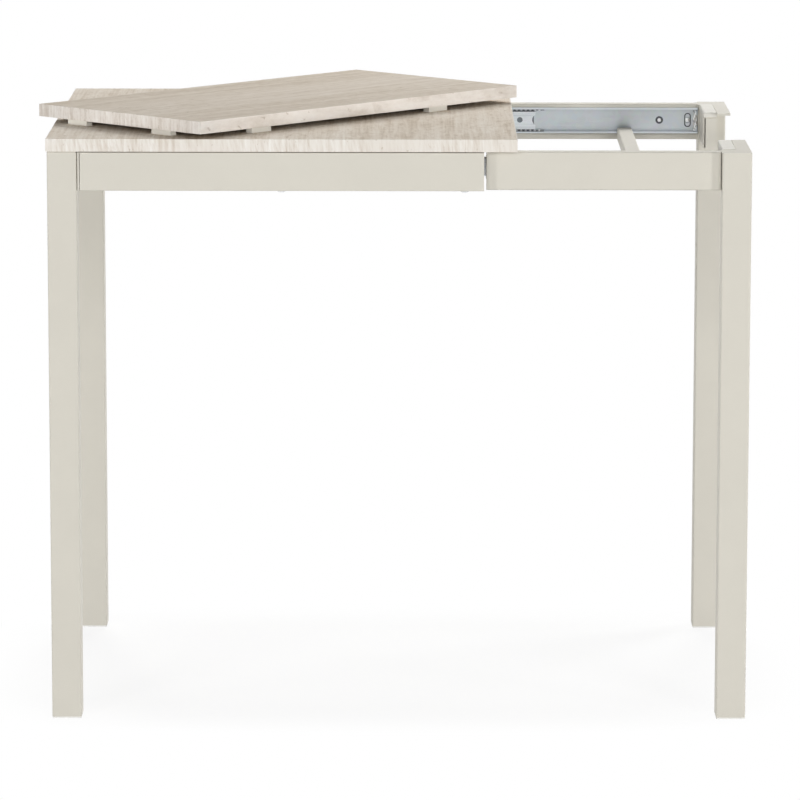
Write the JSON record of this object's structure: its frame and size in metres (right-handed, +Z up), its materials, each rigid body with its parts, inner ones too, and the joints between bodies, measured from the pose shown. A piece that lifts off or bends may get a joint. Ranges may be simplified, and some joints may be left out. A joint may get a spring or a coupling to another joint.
{
  "type": "extending dining table",
  "caption": "Small square-legged dining table whose end frame pulls out on ball-bearing slides, with a loose board leaf lying askew on the main top.",
  "frame": {"origin": "on the floor, at the middle of the box of the whole object, the askew leaf included", "axes": "+X along the pull towards the moving legs, +Y from the front of the table to its back, +Z up"},
  "size_m": [0.92, 0.643, 0.777],
  "materials": {
    "stone_laminate": "chipboard with a matt travertine-look laminate",
    "edge_band": "matt edge band printed with travertine-look streaks",
    "powder_coat": "satin greige powder coat on steel",
    "galvanised": "bright galvanised cold-rolled steel",
    "ball_steel": "polished ball steel",
    "zinc": "zinc-plated fasteners",
    "nylon": "cream moulded nylon",
    "foot_plastic": "pale moulded plastic",
    "cap_plastic": "greige moulded plastic"
  },
  "bodies": {
    "fixed_frame": {"main_top": "stone_laminate", "main_top_edging": "edge_band", "left_front_leg": "powder_coat", "left_back_leg": "powder_coat", "left_leg_caps": "powder_coat", "left_feet": "foot_plastic", "fixed_front_apron": "powder_coat", "fixed_back_apron": "powder_coat", "front_inner_rail": "powder_coat", "back_inner_rail": "powder_coat", "fixed_end_plates": "powder_coat", "left_end_rail": "powder_coat", "head_cross_rail": "powder_coat", "leg_bolts": "zinc", "apron_screws": "zinc", "slide_inner_members": "galvanised", "fixed_slide_screws": "zinc"},
    "moving_frame": {"right_front_leg": "powder_coat", "right_back_leg": "powder_coat", "right_leg_caps": "powder_coat", "right_feet": "foot_plastic", "moving_front_apron": "powder_coat", "moving_back_apron": "powder_coat", "moving_apron_caps": "cap_plastic", "moving_end_plates": "powder_coat", "leaf_cross_bar": "powder_coat", "cross_bar_tongues": "powder_coat", "corner_stubs": "powder_coat", "corner_stub_caps": "powder_coat", "corner_glides": "nylon", "corner_plates": "powder_coat", "slide_outer_members": "galvanised", "moving_slide_screws": "zinc"},
    "slide_middles": {"slide_middle_members": "galvanised"},
    "outer_cages": {"outer_ball_cages": "galvanised", "outer_balls": "ball_steel"},
    "inner_cages": {"inner_ball_cages": "galvanised", "inner_balls": "ball_steel"},
    "leaf": {"leaf_board": "stone_laminate", "leaf_edging": "edge_band", "leaf_blocks": "nylon"}
  },
  "joints": [
    {"name": "frame_slide", "type": "slide", "parent": "fixed_frame", "child": "moving_frame", "axis": [1, 0, 0], "range_m": [-0.3, 0]},
    {"name": "middle_slide", "type": "slide", "parent": "fixed_frame", "child": "slide_middles", "axis": [1, 0, 0], "range_m": [-0.15, 0]},
    {"name": "outer_cage_slide", "type": "slide", "parent": "fixed_frame", "child": "outer_cages", "axis": [1, 0, 0], "range_m": [-0.225, 0]},
    {"name": "inner_cage_slide", "type": "slide", "parent": "fixed_frame", "child": "inner_cages", "axis": [1, 0, 0], "range_m": [-0.075, 0]},
    {"name": "leaf_lift", "type": "slide", "parent": "fixed_frame", "child": "leaf", "axis": [0, 0, 1], "range_m": [0, 0.25]}
  ],
  "couplings": [
    {"joint": "middle_slide", "follows": "frame_slide", "ratio": 0.5},
    {"joint": "outer_cage_slide", "follows": "frame_slide", "ratio": 0.75},
    {"joint": "inner_cage_slide", "follows": "frame_slide", "ratio": 0.25}
  ]
}
